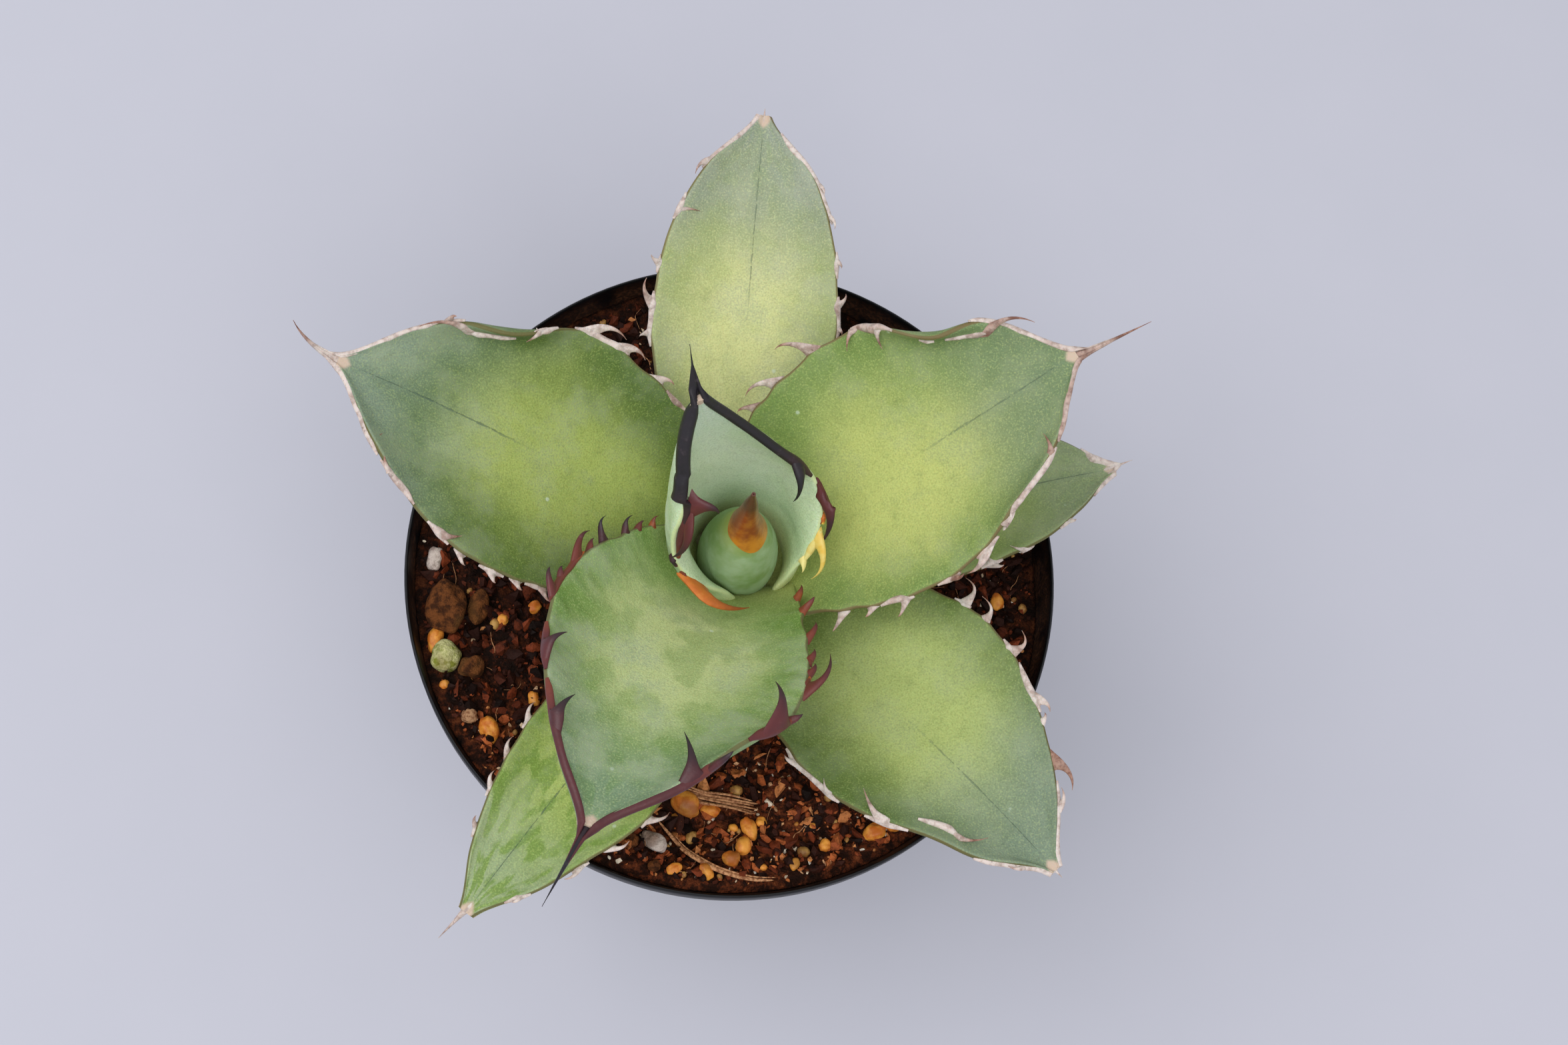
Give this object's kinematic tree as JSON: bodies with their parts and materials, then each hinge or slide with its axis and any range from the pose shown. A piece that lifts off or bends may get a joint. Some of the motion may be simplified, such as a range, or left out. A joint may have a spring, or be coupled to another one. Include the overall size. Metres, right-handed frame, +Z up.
{
  "type": "potted agave oteroi",
  "caption": "Young agave oteroi rosette with broad toothed leaves, dark terminal spines and a rolled bud, in a round tapered black pot of gritty soil.",
  "frame": {"origin": "centre of the pot's underside, on the surface it stands on", "axes": "+Z up along the pot's axis; +X to the right and +Y to the back as the picture shows it from above"},
  "size_m": [0.1327, 0.1294, 0.1482],
  "materials": {
    "pot": "satin black moulded plastic",
    "soil": "damp peat and bark with small mineral grains",
    "stem": "pale short stem hidden among the leaf bases",
    "bud": "smooth, waxy, with an orange-brown horny cap",
    "leaf_young": "waxy blue-green bloom, dark purple-brown horny teeth and spine",
    "leaf": "waxy yellow-green, finely stippled, pale dried horny margin"
  },
  "bodies": {
    "root": {"pot": "pot", "soil": "soil", "stem": "stem", "bud": "bud", "leaf_1": "leaf_young", "leaf_2": "leaf_young", "leaf_3": "leaf", "leaf_4": "leaf", "leaf_5": "leaf", "leaf_6": "leaf", "leaf_7": "leaf", "leaf_8": "leaf"}
  },
  "joints": []
}
